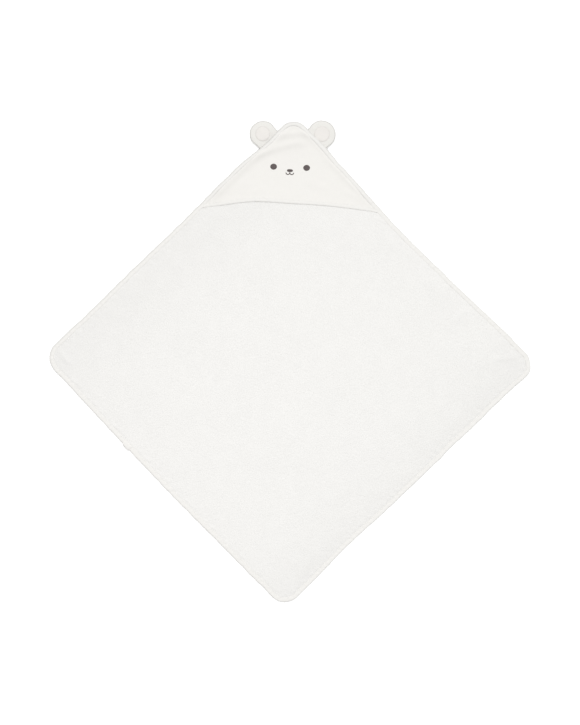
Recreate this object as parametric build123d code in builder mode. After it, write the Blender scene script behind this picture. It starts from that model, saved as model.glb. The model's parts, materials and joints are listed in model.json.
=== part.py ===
from build123d import *
import os
from math import sqrt

# Hooded baby towel, laid flat with its hooded face up, in millimetres.
# The towel is a square that stands on one corner. The origin is the centre of its underside, +Y points to the
# hood's tip and +Z points up, out of the hooded face. The cloth is cut into rigid panels along the lines where a
# towel is folded round a baby, so that each corner can turn about its fold.

# ---- Driving dimensions -------------------------------------------------------------------------------------
side = 760.0  # finished side of the square
corner_radius = 40.0  # rounding of the two side corners and the foot
tip_radius = 30.0  # rounding of the hood's tip

terry_thickness = 3.0  # loop pile, not pressed
terry_edge_bottom = 0.6  # the pile is pressed flat where the binding holds it
terry_edge_top = 2.6

binding_width = 10.0  # how far the folded strip reaches in from the edge
binding_cloth = 0.5  # thickness of one layer of the strip
binding_height = 3.2  # over the towel alone
hood_binding_height = 5.0  # where it also takes the hood's sides
lap_length = 18.0  # where the strip's two ends overlap
lap_proud = 2.5
lap_rounding = 2.2
lap_across = -115.0  # distance of the overlap from the middle of the lower left edge, towards the left corner

stitch_inset = 8.3  # outer side of the topstitching, measured from the towel's edge
thread_width = 0.5
thread_height = 0.3
groove_width = 0.7  # the stitches pull a shallow groove into the binding
groove_depth = 0.25

wing_fold = 285.0  # distance from the centre to each side corner's fold line
foot_fold = 290.0  # distance from the centre to the foot's fold line
hood_fold = 322.0  # distance from the centre to the fold line below the hood
fold_gap = 1.0  # bare hinge line between two panels

hem_middle = 346.0  # height of the hood's mouth above the centre, at its middle
hem_end = 334.0  # and at its two ends
hem_width = 9.0
hem_cloth = 0.45
hem_stitch_setback = 7.5  # from the mouth's edge up to the stitching
pocket_gap = 1.2  # space between the towel and the hood when laid flat
lining_thickness = 1.5
backing_gap = 0.3
shell_thickness = 1.2

eye_radius = 7.6
eye_spacing = 71.5
eye_height = 424.0
nose_width = 14.6
nose_depth = 8.2
nose_height = 417.8
mouth_arc_radius = 4.1
mouth_stroke = 2.2
mouth_height = 412.0
embroidery_thickness = 0.7
eye_edge_rounding = 0.4
backing_width = 110.0
backing_depth = 46.0
backing_rounding = 11.5
backing_thickness = 0.2

ear_radius = 28.9
ear_base = 52.0  # width where the ear meets the towel
ear_stand_off = 15.0  # the ear circle's centre, outside the towel's edge
ear_along_edge = 74.0  # from the hood's sharp tip, along the edge, to the ear's middle
ear_gap = 0.3
ear_bottom = 0.3
ear_cloth = 1.1
interlining_inset = 1.5
interlining_thickness = 0.7
inner_ear_radius = 16.8
inner_ear_thickness = 0.6
inner_ear_stitch_radius = 15.6

label_width = 20.0
label_length = 34.0
label_thickness = 0.3
label_clearance = 0.1

clearance = 0.1  # left between layers that touch in the real towel

# ---- Values worked out from them ------------------------------------------------------------------------------
far = side  # a length that reaches past the towel on every side
half_diagonal = side / sqrt(2)
lining_bottom = terry_thickness + pocket_gap
shell_bottom = lining_bottom + lining_thickness + backing_gap
shell_top = shell_bottom + shell_thickness
hood_inset = binding_width + 0.3
ear_front_top = ear_bottom + 2 * ear_cloth + interlining_thickness
ear_top = ear_front_top + inner_ear_thickness

# A fold line's plane faces outwards, away from the towel's centre.
fold_planes = {
    "left_wing": Plane(origin=(-wing_fold, 0, 0), z_dir=(-1, 0, 0)),
    "right_wing": Plane(origin=(wing_fold, 0, 0), z_dir=(1, 0, 0)),
    "foot": Plane(origin=(0, -foot_fold, 0), z_dir=(0, -1, 0)),
    "hood_corner": Plane(origin=(0, hood_fold, 0), z_dir=(0, 1, 0)),
}

# Local plane of the right ear: +X runs along the towel's edge, away from the tip, and +Y points outwards.
ear_foot = ear_along_edge / sqrt(2)
ear_plane = Plane(origin=(ear_foot, half_diagonal - ear_foot, 0), x_dir=(1, -1, 0), z_dir=(0, 0, 1))

# Local plane of the binding's overlap and the label: +X runs along the lower left edge, +Y points into the towel.
edge_middle = -half_diagonal / 2
lap_shift = lap_across / sqrt(2)
lap_plane = Plane(
    origin=(edge_middle + lap_shift, edge_middle - lap_shift, 0), x_dir=(1, -1, 0), z_dir=(0, 0, 1)
)


# ---- Shared outlines ------------------------------------------------------------------------------------------
def towel_sketch(inset):
    """The rounded square, moved inwards by inset."""
    with BuildSketch() as sketch:
        Rectangle(side - 2 * inset, side - 2 * inset, rotation=45)
        fillet(vertices().sort_by(Axis.Y)[:3], corner_radius - inset)
        fillet(vertices().sort_by(Axis.Y)[-1], tip_radius - inset)
    return sketch.sketch


def hood_sketch(inset, hem_setback):
    """The hood front's outline: the towel's tip above the curve of the mouth, which is raised by hem_setback."""
    end_x = half_diagonal - hem_end
    end_y = hem_end + hem_setback
    with BuildSketch() as sketch:
        with BuildLine():
            ThreePointArc((-end_x, end_y), (0, hem_middle + hem_setback), (end_x, end_y))
            Polyline((end_x, end_y), (far, end_y), (far, far), (-far, far), (-far, end_y), (-end_x, end_y))
        make_face()
        add(towel_sketch(inset), mode=Mode.INTERSECT)
    return sketch.sketch


def ear_sketch(inset):
    """One ear, in the ear's own plane: a circle whose sides run down to the base."""
    with BuildSketch() as sketch:
        with Locations((0, ear_stand_off)):
            Circle(ear_radius - inset)
        with Locations((0, ear_gap + inset)):
            Rectangle(ear_base - 2 * inset, 1, align=(Align.CENTER, Align.MIN))
        make_hull()
        Rectangle(far, far, align=(Align.CENTER, Align.MAX), mode=Mode.SUBTRACT)
        with Locations((0, ear_gap)):
            Rectangle(far, far, align=(Align.CENTER, Align.MAX), mode=Mode.SUBTRACT)
    return sketch.sketch


# ---- Shared solids --------------------------------------------------------------------------------------------
def edge_ring(outer_inset, inner_inset, bottom, top):
    """A band that follows the towel's edge, between two insets and two heights."""
    with BuildPart() as band:
        with BuildSketch(Plane.XY.offset(bottom)):
            add(towel_sketch(outer_inset))
            add(towel_sketch(inner_inset), mode=Mode.SUBTRACT)
        extrude(amount=top - bottom)
    return band.part


def hood_layer(inset, hem_setback, bottom, top):
    """A flat layer of the hood front."""
    with BuildPart() as layer:
        with BuildSketch(Plane.XY.offset(bottom)):
            add(hood_sketch(inset, hem_setback))
        extrude(amount=top - bottom)
    return layer.part


def hem_band(inset, lower_setback, upper_setback, bottom, top):
    """A band that follows the hood's mouth, between two distances above it and two heights."""
    with BuildPart() as band:
        with BuildSketch(Plane.XY.offset(bottom)):
            add(hood_sketch(inset, lower_setback))
            add(hood_sketch(inset, upper_setback), mode=Mode.SUBTRACT)
        extrude(amount=top - bottom)
    return band.part


def ear_layer(inset, bottom, top):
    """A flat layer of the right ear."""
    with BuildPart() as layer:
        with BuildSketch(ear_plane.offset(bottom)):
            add(ear_sketch(inset))
        extrude(amount=top - bottom)
    return layer.part


def inner_ear_band(outer_radius, inner_radius, bottom, top):
    """A disc or a ring on the right ear, cut off at the ear's base."""
    with BuildPart() as band:
        with BuildSketch(ear_plane.offset(bottom)):
            with Locations((0, ear_stand_off)):
                Circle(outer_radius)
                if inner_radius > 0:
                    Circle(inner_radius, mode=Mode.SUBTRACT)
            with Locations((0, ear_gap)):
                Rectangle(far, far, align=(Align.CENTER, Align.MAX), mode=Mode.SUBTRACT)
        extrude(amount=top - bottom)
    return band.part


def whole_terry():
    """The towel's cloth in one piece: full pile inside the binding, pressed flat under it."""
    with BuildPart() as cloth:
        with BuildSketch():
            add(towel_sketch(binding_width + clearance))
        extrude(amount=terry_thickness)
        with BuildSketch(Plane.XY.offset(terry_edge_bottom)):
            add(towel_sketch(binding_cloth + clearance))
        extrude(amount=terry_edge_top - terry_edge_bottom)
    return cloth.part


def whole_binding(height):
    """The folded strip round the whole edge, a U that opens inwards, grooved above and below by its stitching."""
    groove_inset = stitch_inset - (groove_width - thread_width) / 2
    with BuildPart() as strip:
        add(edge_ring(0, binding_width, 0, height))
        add(edge_ring(binding_cloth, binding_width, binding_cloth, height - binding_cloth), mode=Mode.SUBTRACT)
        for bottom in (0, height - groove_depth):
            groove = edge_ring(groove_inset, groove_inset + groove_width, bottom, bottom + groove_depth)
            add(groove, mode=Mode.SUBTRACT)
    return strip.part


def whole_edge_thread(height):
    """Needle thread above the binding and bobbin thread below it, each in its groove."""
    bobbin_height = groove_depth - clearance
    needle_bottom = height - groove_depth + clearance / 2
    with BuildPart() as thread:
        add(edge_ring(stitch_inset, stitch_inset + thread_width, needle_bottom, needle_bottom + thread_height))
        add(edge_ring(stitch_inset, stitch_inset + thread_width, 0, bobbin_height))
    return thread.part


# ---- Cutting the towel at its fold lines ----------------------------------------------------------------------
def panel_of(whole, panel):
    """The part of a whole piece that lies beyond one fold line."""
    with BuildPart() as piece:
        add(whole)
        split(bisect_by=fold_planes[panel].offset(fold_gap / 2), keep=Keep.TOP)
    return piece


def centre_of(whole):
    """The part of a whole piece that lies inside all four fold lines."""
    with BuildPart() as piece:
        add(whole)
        for plane in fold_planes.values():
            split(bisect_by=plane.offset(-fold_gap / 2), keep=Keep.BOTTOM)
    return piece


def save(piece, name):
    """Labels one finished piece and writes it."""
    piece.part.label = name
    export_step(piece.part, f"parts/{name}.step")


# ---- Towel, binding and topstitching --------------------------------------------------------------------------
def add_lap(strip):
    """The binding's left panel with the bulge where the strip's two ends overlap."""
    with BuildPart() as lapped:
        add(strip.part)
        with BuildSketch(lap_plane):
            with Locations((0, -lap_proud)):
                Rectangle(lap_length, lap_proud + binding_cloth, align=(Align.CENTER, Align.MIN))
            fillet(vertices().sort_by(Axis.Y)[:2], lap_rounding)
        extrude(amount=binding_height)
    return lapped


def press_label(cloth):
    """The left terry panel with the shallow dent that the care label presses into its back."""
    room = 2 * label_clearance
    with BuildPart() as dented:
        add(cloth.part)
        with BuildSketch(lap_plane):
            with Locations((0, binding_width + clearance)):
                Rectangle(label_width + room, label_length + room, align=(Align.CENTER, Align.MIN))
        extrude(amount=label_thickness + label_clearance, mode=Mode.SUBTRACT)
    return dented


def make_towel():
    """Terry, binding and edge thread, each cut into the centre and the four corners."""
    terry = whole_terry()
    binding = {False: whole_binding(binding_height), True: whole_binding(hood_binding_height)}
    thread = {False: whole_edge_thread(binding_height), True: whole_edge_thread(hood_binding_height)}

    save(centre_of(terry), "terry_centre")
    save(centre_of(binding[False]), "binding_centre")
    save(centre_of(thread[False]), "edge_thread_centre")
    for panel in fold_planes:
        under_hood = panel == "hood_corner"
        cloth = panel_of(terry, panel)
        strip = panel_of(binding[under_hood], panel)
        if panel == "left_wing":
            cloth = press_label(cloth)
            strip = add_lap(strip)
        save(cloth, f"terry_{panel}")
        save(strip, f"binding_{panel}")
        save(panel_of(thread[under_hood], panel), f"edge_thread_{panel}")


def make_label():
    """Blank care label, sewn in at the back beside the binding's overlap."""
    with BuildPart() as care_label:
        with BuildSketch(lap_plane):
            with Locations((0, binding_width + clearance + label_clearance)):
                Rectangle(label_width, label_length, align=(Align.CENTER, Align.MIN))
        extrude(amount=label_thickness)
    save(care_label, "care_label")


# ---- Hood front -----------------------------------------------------------------------------------------------
def make_hood_cloth():
    """Lining and shell, which end inside the hem binding's fold."""
    hem_setback = hem_cloth + clearance
    outline = hood_sketch(hood_inset, hem_setback)
    with BuildPart() as lining:
        with BuildSketch(Plane.XY.offset(lining_bottom)):
            add(outline)
        extrude(amount=lining_thickness)
    save(lining, "hood_lining")

    with BuildPart() as shell:
        with BuildSketch(Plane.XY.offset(shell_bottom)):
            add(outline)
        extrude(amount=shell_thickness)
    save(shell, "hood_shell")


def make_hood_hem():
    """Hem binding, a U folded round the mouth of the hood, and its row of stitching."""
    bottom = lining_bottom - clearance / 2 - hem_cloth
    top = shell_top + clearance / 2 + hem_cloth
    stitch_top = hem_stitch_setback + thread_width
    groove_side = (groove_width - thread_width) / 2
    groove = hem_band(
        0, hem_stitch_setback - groove_side, stitch_top + groove_side, top - groove_depth, top
    )
    with BuildPart() as hem:
        add(hem_band(hood_inset, 0, hem_width, bottom, top))
        add(hood_layer(0, hem_cloth, bottom + hem_cloth, top - hem_cloth), mode=Mode.SUBTRACT)
        add(groove, mode=Mode.SUBTRACT)
    save(hem, "hood_hem_binding")

    thread_bottom = top - groove_depth + clearance / 2
    with BuildPart() as thread:
        add(hem_band(hood_inset, hem_stitch_setback, stitch_top, thread_bottom, thread_bottom + thread_height))
    save(thread, "hood_hem_thread")


def make_features():
    """Eyes, nose and mouth in raised thread, and the backing that holds them inside the hood."""
    face_plane = Plane.XY.offset(shell_top)
    stem_top = nose_height - nose_depth / 2 - clearance
    for name, x in (("left_eye", -eye_spacing / 2), ("right_eye", eye_spacing / 2)):
        with BuildPart() as eye:
            with BuildSketch(face_plane):
                with Locations((x, eye_height)):
                    Circle(eye_radius)
            extrude(amount=embroidery_thickness)
            fillet(eye.faces().sort_by(Axis.Z)[-1].edges(), eye_edge_rounding)
        save(eye, name)

    with BuildPart() as nose:
        with BuildSketch(face_plane):
            with Locations((0, nose_height)):
                Ellipse(nose_width / 2, nose_depth / 2)
        extrude(amount=embroidery_thickness)
    save(nose, "nose")

    with BuildPart() as mouth:
        with BuildSketch(face_plane):
            with Locations((-mouth_arc_radius, mouth_height), (mouth_arc_radius, mouth_height)):
                Circle(mouth_arc_radius + mouth_stroke / 2)
                Circle(mouth_arc_radius - mouth_stroke / 2, mode=Mode.SUBTRACT)
            with Locations((0, mouth_height)):
                Rectangle(far, far, align=(Align.CENTER, Align.MIN), mode=Mode.SUBTRACT)
            with Locations((0, mouth_height)):
                Rectangle(mouth_stroke, stem_top - mouth_height, align=(Align.CENTER, Align.MIN))
        extrude(amount=embroidery_thickness)
    save(mouth, "mouth")

    backing_bottom = lining_bottom + lining_thickness + (backing_gap - backing_thickness) / 2
    with BuildPart() as backing:
        with BuildSketch(Plane.XY.offset(backing_bottom)):
            with Locations((0, eye_height)):
                RectangleRounded(backing_width, backing_depth, backing_rounding)
        extrude(amount=backing_thickness)
    save(backing, "embroidery_backing")


# ---- Ears -----------------------------------------------------------------------------------------------------
def make_ears():
    """Each ear's layers from the back cloth up to the stitched inner ear, on the right and mirrored on the left."""
    interlining_bottom = ear_bottom + ear_cloth
    front_bottom = interlining_bottom + interlining_thickness
    thread_outer = inner_ear_stitch_radius + thread_width
    layers = {
        "ear_back": ear_layer(0, ear_bottom, interlining_bottom - clearance / 2),
        "ear_interlining": ear_layer(interlining_inset, interlining_bottom, front_bottom),
        "ear_front": ear_layer(0, front_bottom + clearance / 2, ear_front_top),
        "inner_ear": inner_ear_band(inner_ear_radius, 0, ear_front_top, ear_top),
        "inner_ear_thread": inner_ear_band(
            thread_outer, inner_ear_stitch_radius, ear_top, ear_top + thread_height
        ),
    }
    for name, layer in layers.items():
        with BuildPart() as right:
            add(layer)
        save(right, f"right_{name}")
        with BuildPart() as left:
            mirror(layer, about=Plane.YZ)
        save(left, f"left_{name}")


os.makedirs("parts", exist_ok=True)
make_towel()
make_label()
make_hood_cloth()
make_hood_hem()
make_features()
make_ears()
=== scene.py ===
import json
from math import pi, radians, sqrt

import bpy
import numpy as np
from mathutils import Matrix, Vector


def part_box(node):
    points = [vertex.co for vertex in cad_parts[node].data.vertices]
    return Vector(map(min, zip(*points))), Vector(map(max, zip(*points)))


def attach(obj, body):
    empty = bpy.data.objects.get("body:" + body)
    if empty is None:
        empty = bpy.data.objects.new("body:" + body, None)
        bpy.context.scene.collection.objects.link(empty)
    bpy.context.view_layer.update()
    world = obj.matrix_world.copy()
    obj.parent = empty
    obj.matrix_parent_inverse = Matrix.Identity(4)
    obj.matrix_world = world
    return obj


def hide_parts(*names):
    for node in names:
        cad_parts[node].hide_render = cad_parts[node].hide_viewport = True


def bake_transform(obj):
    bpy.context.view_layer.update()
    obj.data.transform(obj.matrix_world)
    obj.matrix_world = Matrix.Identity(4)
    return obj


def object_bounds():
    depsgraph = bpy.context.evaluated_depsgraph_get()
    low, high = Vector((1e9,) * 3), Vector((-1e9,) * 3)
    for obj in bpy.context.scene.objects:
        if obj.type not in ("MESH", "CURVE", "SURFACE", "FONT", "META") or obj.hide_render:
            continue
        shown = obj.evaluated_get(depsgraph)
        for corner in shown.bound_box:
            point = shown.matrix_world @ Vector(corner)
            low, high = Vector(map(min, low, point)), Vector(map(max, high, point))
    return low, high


# A hooded baby towel laid flat on a pale floor, seen from straight above.
# Cloth is built as an even, square towel and then moved by lay() to the way it came to rest.
# Lengths are in metres unless a comment says millimetres, in the frame of the CAD model.

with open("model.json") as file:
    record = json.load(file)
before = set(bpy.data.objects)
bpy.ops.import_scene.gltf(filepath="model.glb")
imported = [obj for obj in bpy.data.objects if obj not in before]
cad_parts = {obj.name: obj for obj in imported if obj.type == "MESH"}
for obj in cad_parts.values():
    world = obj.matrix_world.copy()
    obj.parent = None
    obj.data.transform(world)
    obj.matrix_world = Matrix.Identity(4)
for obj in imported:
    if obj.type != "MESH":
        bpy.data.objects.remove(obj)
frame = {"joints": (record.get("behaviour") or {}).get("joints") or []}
cad_low, cad_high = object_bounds()

# ---- Sizes ----
MM = 0.001
SLANT = sqrt(0.5)  # the towel's sides run at 45 degrees to X and Y
HALVES = (("left", -1), ("right", 1))

joints = {joint["name"]: joint for joint in frame["joints"]}
CORNER_RADIUS = 40 * MM
TIP_RADIUS = 30 * MM
half_diagonal = cad_high.x + CORNER_RADIUS * (sqrt(2) - 1)
half_side = half_diagonal * SLANT
wing_fold = joints["right_wing_fold"]["pos_m"][0]
foot_fold = -joints["foot_fold"]["pos_m"][1]
hood_fold = joints["hood_fold"]["pos_m"][1]

FOLD_ZONE = 12 * MM  # half the width of the band round each fold line that the pieces' cuts keep out of
CUT_BEFORE_ZONE = 6 * MM  # pieces meet this far outside that band
wing_cut, foot_cut, hood_cut = np.array([wing_fold, foot_fold, hood_fold]) - FOLD_ZONE - CUT_BEFORE_ZONE

STITCH_PITCH = 3.0 * MM

HEM_DROP = 12 * MM  # the CAD hood's mouth is this much lower at its ends than in its middle
hem_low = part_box("hood_hem_binding")[0]
hem_middle = hem_low.y + HEM_DROP
hem_reach = half_diagonal - hem_low.y

# The four corner panels: the way each points, and the distance of its fold line from the centre.
FOLDS = {
    "left_wing": (Vector((-1, 0, 0)), wing_fold),
    "right_wing": (Vector((1, 0, 0)), wing_fold),
    "foot": (Vector((0, -1, 0)), foot_fold),
    "hood_corner": (Vector((0, 1, 0)), hood_fold),
}
PANELS = ("centre", *FOLDS)


# ---- Shared formulas ----
def ramp(value, start, end):
    """0 as far as start, 1 from end on, and an even S between them."""
    t = np.clip((value - start) / (end - start), 0, 1)
    return t * t * (3 - 2 * t)


def bell(value, middle=0.0, reach=1.0):
    """1 in the middle, falling to almost nothing at twice the reach."""
    t = (value - middle) / reach
    return np.exp(-t * t)


def waves(x, y, wavelength, seed, count=14):
    """Smooth random relief, mostly between -1 and 1, whose features are about one wavelength across."""
    random = np.random.default_rng(seed)
    total = 0
    for heading, length, phase in random.uniform((0, 0.7, 0), (2 * pi, 1.4, 2 * pi), (count, 3)):
        along = x * np.cos(heading) + y * np.sin(heading)
        total = total + np.cos(2 * pi * along / (length * wavelength) + phase)
    return total / sqrt(count)


def unit(vectors):
    """The same directions with length 1."""
    return vectors / np.maximum(np.linalg.norm(vectors, axis=-1, keepdims=True), 1e-12)


def along_sides(x, y):
    """The same place along the towel's sides: U to the lower right and V to the upper right."""
    return (x - y) * SLANT, (x + y) * SLANT


def inset_of(x, y):
    """How far a place lies inside the towel's rounded outline."""
    u, v = along_sides(x, y)
    radius = np.where((u < 0) & (v > 0), TIP_RADIUS, CORNER_RADIUS)
    p, q = np.abs(u) - half_side + radius, np.abs(v) - half_side + radius
    return radius - np.hypot(np.maximum(p, 0), np.maximum(q, 0)) - np.minimum(np.maximum(p, q), 0)


RIDGE_FADE = 0.25  # share of a fold's length in which each end fades


def ridge(x, y, start, end, width, height, bow=0.0):
    """A soft fold, given in millimetres, that is bowed sideways in its middle and fades at both ends."""
    x, y, start, end = x / MM, y / MM, np.array(start), np.array(end)
    length = np.linalg.norm(end - start)
    heading = (end - start) / length
    t = ((x - start[0]) * heading[0] + (y - start[1]) * heading[1]) / length
    aside = (y - start[1]) * heading[0] - (x - start[0]) * heading[1]
    fade = ramp(t, 0, RIDGE_FADE) * ramp(t, 1, 1 - RIDGE_FADE)
    return height * bell(aside, bow * 4 * t * (1 - t), width) * fade


def box_of(node):
    """Middle and half size of a CAD node."""
    low, high = [np.array(corner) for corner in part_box(node)]
    return (low + high) / 2, (high - low) / 2


# ---- How the towel came to rest ----
# Turns are anticlockwise and shifts are to the right. Each starts at one Y and is full at the other.
HOOD_RISE = (0.06, 0.32)
HOOD_TURN, HOOD_SHIFT = radians(-1.2), -5.0 * MM
TIP_RISE = (0.425, 0.485)  # from here the ears and the tip turn and shift in their own way
TIP_TURN, TIP_SHIFT = radians(1.2), -2.0 * MM
TURN_MIDDLE = 0.50  # Y of the place on the centre line that they turn about
TIP_SINK = 0.8 * MM
TUCK_RISE = (0.495, 0.525)  # and here the tip's middle is tucked down between the ears
TUCK_DEPTH, TUCK_REACH = 1.8 * MM, 28 * MM

# Where the sides are drawn in, or outwards if less than 0: for each way out, how far, then the middle and the
# reach of each bow along the side, in millimetres.
SIDE_BOWS = {
    (1, 0): ((-3.2, 14, 24),),
    (0, -1): ((2.2, 46, 12),),
    (SLANT, SLANT): ((-1.9, 0, 1000), (-0.9, 65, 50), (-0.7, -220, 60), (-1.2, -190, 70), (-2.2, 330, 90)),
    (SLANT, -SLANT): ((3.2, 0, 800), (3.7, 180, 80), (1.8, -130, 30), (1.6, -280, 70)),
    (-SLANT, SLANT): ((6.6, 15, 135), (1.9, 0, 400), (-3.2, -310, 80)),
    (-SLANT, -SLANT): ((-3.4, -20, 180), (1.6, 320, 60)),
}


def lay(points):
    """Moves places on an even, square towel to where they came to rest."""
    placed = np.array(points, float)
    x, y = placed[..., 0].copy(), placed[..., 1].copy()
    hood, tip = ramp(y, *HOOD_RISE), ramp(y, *TIP_RISE)
    angle = HOOD_TURN * hood * (1 - tip) + TIP_TURN * tip
    shift = (HOOD_SHIFT + (TIP_SHIFT - HOOD_SHIFT) * tip) * hood
    drop = TIP_SINK * tip + TUCK_DEPTH * ramp(y, *TUCK_RISE) * bell(x, 0, TUCK_REACH)
    above = y - TURN_MIDDLE
    placed[..., 0] = x * np.cos(angle) - above * np.sin(angle) + shift
    placed[..., 1] = TURN_MIDDLE + x * np.sin(angle) + above * np.cos(angle) - drop
    for (out_x, out_y), bows in SIDE_BOWS.items():
        along = (x * out_y - y * out_x) / MM
        bow = sum(depth * MM * bell(along, middle, reach) for depth, middle, reach in bows)
        pull = bow * np.clip((x * out_x + y * out_y) / half_side, 0, 1) ** 3
        placed[..., 0] -= out_x * pull
        placed[..., 1] -= out_y * pull
    return placed


def lay_layers(x, y, *heights):
    """Layers of points over the same grid, at rest."""
    return [lay(np.stack([x, y, height], axis=-1)) for height in heights]


# ---- Mesh building ----
def new_object(name, data):
    """A new object in the scene."""
    made = bpy.data.objects.new(name, data)
    bpy.context.scene.collection.objects.link(made)
    return made


def strip_quads(index, beside):
    """Quads between rows of vertex numbers, where beside holds each vertex's neighbour in its row."""
    return np.stack([index[:-1], index[1:], beside[1:], beside[:-1]], axis=-1).reshape(-1, 4)


def face_normals(points, faces):
    """One normal for each corner of each face, square to the face."""
    spot = points.reshape(-1, 3)[faces]
    normal = unit(np.cross(spot[:, 1] - spot[:, 0], spot[:, 2] - spot[:, 0]))
    return np.repeat(normal[:, None], faces.shape[1], axis=1)


def vertex_normals(points, groups):
    """Smooth normals from the faces round each vertex."""
    total = np.zeros_like(points)
    for faces in groups:
        spot = points[faces]
        normal = np.cross(spot[:, 1] - spot[:, 0], spot[:, -1] - spot[:, 0])
        for corner in range(faces.shape[1]):
            np.add.at(total, faces[:, corner], normal)
    return unit(total)


def ring_normals(rings, closed):
    """Smooth normals of a strip's sections, pointing out of the strip."""
    if closed:
        along = np.roll(rings, -1, axis=0) - np.roll(rings, 1, axis=0)
    else:
        along = np.gradient(rings, axis=0)
    around = np.roll(rings, -1, axis=1) - np.roll(rings, 1, axis=1)
    return unit(np.cross(along, around))


STRAND_SIDES = 6


class Surface:
    """Vertex places, faces and corner normals that are gathered into one mesh."""

    def __init__(self):
        self.points, self.shades, self.faces, self.normals, self.count = [], [], [], [], 0

    def add_points(self, points, shade=0.0):
        """Adds vertices with the share of painted shade on them, and returns the number of the first."""
        start = self.count
        self.points.append(points.reshape(-1, 3))
        self.shades.append(np.broadcast_to(shade, points.shape[:-1]).ravel())
        self.count += points.size // 3
        return start

    def add_faces(self, faces, normals):
        """Adds faces on vertices that are there, with one normal for each of their corners."""
        self.faces.append(faces)
        self.normals.append(normals.reshape(-1, 3))

    def sheet(self, groups, layers, normals, shade=None):
        """A closed sheet: the same faces of a top and a bottom layer, joined all round their border."""
        groups = [faces for faces in groups if len(faces)]
        used, renumbered = np.unique(np.concatenate([faces.ravel() for faces in groups]), return_inverse=True)
        pairs = [[part.reshape(-1, 3)[used] for part in pair] for pair in (layers, normals)]
        points, normals = [np.concatenate(pair) for pair in pairs]
        count, taken, edges, parts = len(used), 0, [], []
        for faces in groups:
            own = renumbered[taken : taken + faces.size].reshape(faces.shape)
            taken += faces.size
            parts += [own, own[:, ::-1] + count]
            edges.append(np.stack([own, np.roll(own, -1, axis=1)], axis=-1).reshape(-1, 2))
        edges = np.concatenate(edges)
        forward, backward = edges @ np.array([count, 1]), edges @ np.array([1, count])
        here, ahead = edges[~np.isin(forward, backward)].T
        sides = np.stack([ahead, here, here + count, ahead + count], axis=-1)
        start = self.add_points(points, 0.0 if shade is None else np.tile(shade.ravel()[used], 2))
        for faces in parts:
            self.add_faces(faces + start, normals[faces])
        self.add_faces(sides + start, face_normals(points, sides))
        return self

    def sweep(self, rings, normals, shade=0.0):
        """A closed strip through a row of closed sections, with flat ends."""
        index = np.arange(rings.size // 3).reshape(rings.shape[:2])
        quads = strip_quads(index, np.roll(index, -1, axis=1))
        start = self.add_points(rings, shade)
        self.add_faces(quads + start, normals.reshape(-1, 3)[quads])
        for end in (index[:1], index[-1:, ::-1]):
            self.add_faces(end + start, face_normals(rings, end))
        return self

    def threads(self, middles, radii, flatness=1.0):
        """Threads laid side by side: each row of middles, with its radii, becomes one closed round strand."""
        heading = unit(np.gradient(middles, axis=1))
        aside = unit(np.cross(heading, (0, 0, 1)))
        upward = np.cross(aside, heading) * flatness
        turn = 2 * pi * np.arange(STRAND_SIDES)[:, None] / STRAND_SIDES
        spoke = aside[:, :, None] * np.cos(turn) + upward[:, :, None] * np.sin(turn)
        points = middles[:, :, None] + spoke * np.broadcast_to(radii, middles.shape[:2])[:, :, None, None]
        rows = np.arange(points.size // 3).reshape(points.shape[:3]).swapaxes(0, 1)
        normals = unit(spoke).reshape(-1, 3)
        start = self.add_points(points)
        for faces in (strip_quads(rows, np.roll(rows, -1, axis=2)), rows[0], rows[-1, :, ::-1]):
            self.add_faces(faces + start, normals[faces])
        return self

    def piece(self, node, part, slot, look=None):
        """The finished piece, which stands for the CAD node and has the look of its slot or another's."""
        points = np.concatenate(self.points).astype(np.float32)
        corners = np.concatenate([faces.ravel() for faces in self.faces])
        sizes = np.concatenate([np.full(len(faces), faces.shape[1]) for faces in self.faces])
        mesh = bpy.data.meshes.new(f"{node}_{part}")
        mesh.vertices.add(len(points))
        mesh.vertices.foreach_set("co", points.ravel())
        mesh.loops.add(len(corners))
        mesh.loops.foreach_set("vertex_index", corners.astype(np.int32))
        mesh.polygons.add(len(sizes))
        mesh.polygons.foreach_set("loop_start", (np.cumsum(sizes) - sizes).astype(np.int32))
        mesh.update(calc_edges=True)
        mesh.shade_smooth()
        place = mesh.attributes.new("place", "FLOAT_VECTOR", "POINT")
        place.data.foreach_set("vector", points.ravel())
        shade = mesh.attributes.new("shade", "FLOAT", "POINT")
        shade.data.foreach_set("value", np.concatenate(self.shades).astype(np.float32))
        mesh.normals_split_custom_set(unit(np.concatenate(self.normals)))
        mesh.materials.append(materials[look or slot])
        piece = new_object(mesh.name, mesh)
        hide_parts(node)
        return piece


# ---- Cloth on a square grid ----
def cloth_grid(inset, spacing):
    """X and Y of a square grid that runs along the towel's sides and is rounded at its corners."""
    reach = half_side - inset
    cells = 2 * round(reach / spacing)
    line = np.linspace(-reach, reach, cells + 1)
    u, v = np.meshgrid(line, line, indexing="ij")
    radius = np.where((u < 0) & (v > 0), TIP_RADIUS, CORNER_RADIUS) - inset
    p, q = (np.abs(u) - reach) / radius + 1, (np.abs(v) - reach) / radius + 1
    corner = (p > 0) & (q > 0)
    shrink = np.maximum(p, q) / np.maximum(np.hypot(p, q), 1e-9)
    u = np.where(corner, np.sign(u) * (reach + (p * shrink - 1) * radius), u)
    v = np.where(corner, np.sign(v) * (reach + (q * shrink - 1) * radius), v)
    return (u + v) * SLANT, (v - u) * SLANT


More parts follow.
